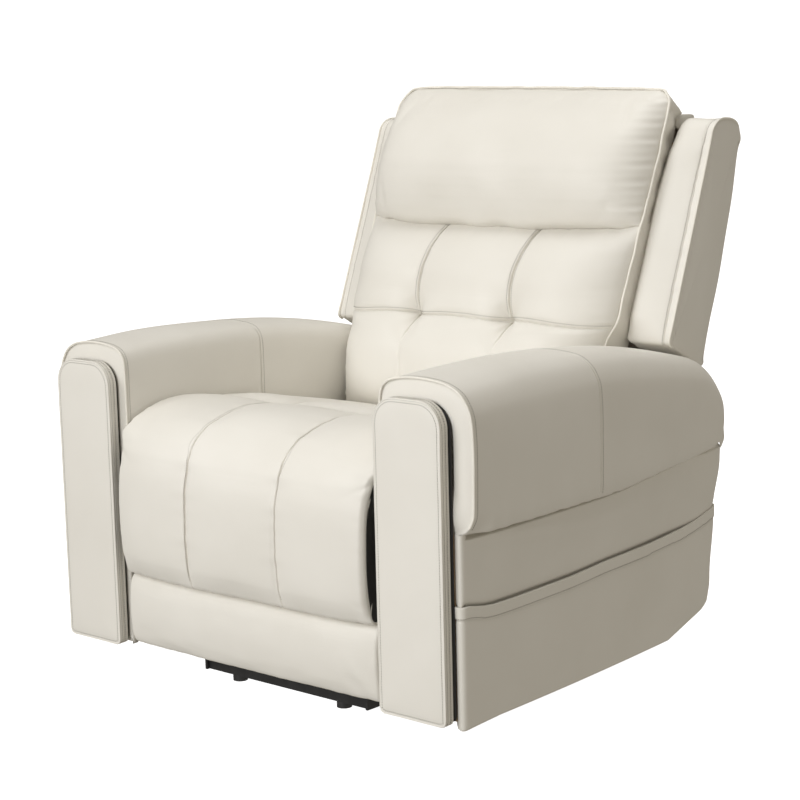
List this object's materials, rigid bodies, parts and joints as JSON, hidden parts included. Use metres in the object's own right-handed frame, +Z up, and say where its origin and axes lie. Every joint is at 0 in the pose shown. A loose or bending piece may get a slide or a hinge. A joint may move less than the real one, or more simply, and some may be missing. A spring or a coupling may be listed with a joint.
{
  "type": "lift recliner chair",
  "caption": "Upholstered lift recliner: tufted back with headrest and side wings, padded arms, fold-out footrest, on a powered lifting base.",
  "frame": {"origin": "middle of the chair's footprint at rest, on the floor", "axes": "+Z up, the chair faces -Y, +X is the sitter's left"},
  "size_m": [0.972, 0.9392, 1.012],
  "materials": {
    "leather": "soft satin, fine grain",
    "black_steel": "satin black powder coat",
    "bright_steel": "zinc plated",
    "black_plastic": "matte",
    "plywood": "raw plywood"
  },
  "bodies": {
    "base": {"base_cross_tubes": "black_steel", "base_side_rails": "black_steel", "base_feet": "black_plastic", "base_pivot_plates": "black_steel", "base_pivot_pins": "bright_steel", "lift_motor_mount": "black_steel", "power_supply": "black_plastic", "power_inlet": "black_steel", "lift_motor": "black_plastic"},
    "lift_linkage": {"lift_arms": "black_steel", "lift_torque_tube": "black_steel"},
    "front_links": {"front_links": "black_steel"},
    "lift_rod": {"lift_push_rod": "bright_steel"},
    "chair_frame": {"seat_side_plates": "black_steel", "seat_cross_tubes": "black_steel", "seat_pivot_pins": "bright_steel", "seat_brackets": "black_steel", "seat_side_rails": "plywood", "seat_end_boards": "plywood", "seat_springs": "bright_steel", "seat_cushion": "leather", "control_box": "black_plastic", "footrest_motor": "black_plastic", "back_motor": "black_plastic", "left_arm_frame": "plywood", "left_side_panel": "leather", "left_pocket_panel": "leather", "left_arm_pad": "leather", "left_front_panel": "leather", "right_arm_frame": "plywood", "right_side_panel": "leather", "right_pocket_panel": "leather", "right_arm_pad": "leather", "right_front_panel": "leather", "rear_stretcher": "plywood", "handset_pouch": "leather"},
    "footrest_rod": {"footrest_push_rod": "bright_steel"},
    "back_rod": {"back_push_rod": "bright_steel"},
    "back": {"back_pivot_tube": "black_steel", "back_hinge_plates": "black_steel", "back_uprights": "black_steel", "back_cross_rails": "plywood", "back_springs": "bright_steel", "back_cushion": "leather", "headrest_pillow": "leather", "left_wing": "leather", "right_wing": "leather", "back_rear_panel": "leather"},
    "footrest": {"footrest_board": "plywood", "footrest_pad": "leather", "footrest_lower_pad": "leather", "footrest_brackets": "black_steel"},
    "drive_links": {"footrest_torque_tube": "black_steel", "footrest_drive_links": "black_steel"},
    "support_links": {"footrest_support_links": "black_steel"},
    "handset": {"handset": "black_plastic"},
    "lift_up_button": {"lift_up_button": "bright_steel"},
    "lift_down_button": {"lift_down_button": "bright_steel"},
    "recline_button": {"recline_button": "bright_steel"},
    "return_button": {"return_button": "bright_steel"}
  },
  "joints": [
    {"name": "lift", "type": "hinge", "parent": "base", "child": "lift_linkage", "pos_m": [0, -0.24702, 0.101], "axis": [1, 0, 0], "range_deg": [0, 48]},
    {"name": "chair_tilt", "type": "hinge", "parent": "lift_linkage", "child": "chair_frame", "pos_m": [0, 0.24998, 0.175], "axis": [1, 0, 0], "range_deg": [-26.1, 0]},
    {"name": "front_link_swing", "type": "hinge", "parent": "base", "child": "front_links", "pos_m": [0, -0.33602, 0.108], "axis": [1, 0, 0], "range_deg": [0, 53.1]},
    {"name": "lift_rod_travel", "type": "slide", "parent": "base", "child": "lift_rod", "axis": [0, -0.9842, 0.1771], "range_m": [0, 0.0856]},
    {"name": "recline", "type": "hinge", "parent": "chair_frame", "child": "back", "pos_m": [0, 0.19298, 0.4], "axis": [-1, 0, 0], "range_deg": [0, 40]},
    {"name": "back_rod_travel", "type": "slide", "parent": "chair_frame", "child": "back_rod", "axis": [0, -1, 0], "range_m": [0, 0.0583]},
    {"name": "footrest_raise", "type": "hinge", "parent": "chair_frame", "child": "footrest", "pos_m": [0, -0.42702, 0.46], "axis": [-1, 0, 0], "range_deg": [0, 85]},
    {"name": "drive_link_swing", "type": "hinge", "parent": "chair_frame", "child": "drive_links", "pos_m": [0, -0.25202, 0.285], "axis": [-1, 0, 0], "range_deg": [0, 85]},
    {"name": "support_link_swing", "type": "hinge", "parent": "footrest", "child": "support_links", "pos_m": [0, -0.37502, 0.32], "axis": [1, 0, 0], "range_deg": [0, 85]},
    {"name": "footrest_rod_travel", "type": "slide", "parent": "chair_frame", "child": "footrest_rod", "axis": [0, -1, 0], "range_m": [0, 0.0488]},
    {"name": "handset_lift_out", "type": "slide", "parent": "chair_frame", "child": "handset", "axis": [0, 0, 1], "range_m": [0, 0.06]},
    {"name": "lift_up_button_press", "type": "slide", "parent": "handset", "child": "lift_up_button", "axis": [1, 0, 0], "range_m": [0, 0.0012], "stiffness_N_per_m": 500, "springref_m": -0.0012},
    {"name": "lift_down_button_press", "type": "slide", "parent": "handset", "child": "lift_down_button", "axis": [1, 0, 0], "range_m": [0, 0.0012], "stiffness_N_per_m": 500, "springref_m": -0.0012},
    {"name": "recline_button_press", "type": "slide", "parent": "handset", "child": "recline_button", "axis": [1, 0, 0], "range_m": [0, 0.0012], "stiffness_N_per_m": 500, "springref_m": -0.0012},
    {"name": "return_button_press", "type": "slide", "parent": "handset", "child": "return_button", "axis": [1, 0, 0], "range_m": [0, 0.0012], "stiffness_N_per_m": 500, "springref_m": -0.0012}
  ],
  "couplings": [
    {"joint": "chair_tilt", "follows": "lift", "ratio": -0.54167},
    {"joint": "front_link_swing", "follows": "lift", "ratio": 1.105},
    {"joint": "lift_rod_travel", "follows": "lift", "m_per_rad": 0.10196},
    {"joint": "back_rod_travel", "follows": "recline", "m_per_rad": 0.083284},
    {"joint": "drive_link_swing", "follows": "footrest_raise", "ratio": 1},
    {"joint": "support_link_swing", "follows": "footrest_raise", "ratio": 1},
    {"joint": "footrest_rod_travel", "follows": "footrest_raise", "m_per_rad": 0.032788}
  ]
}
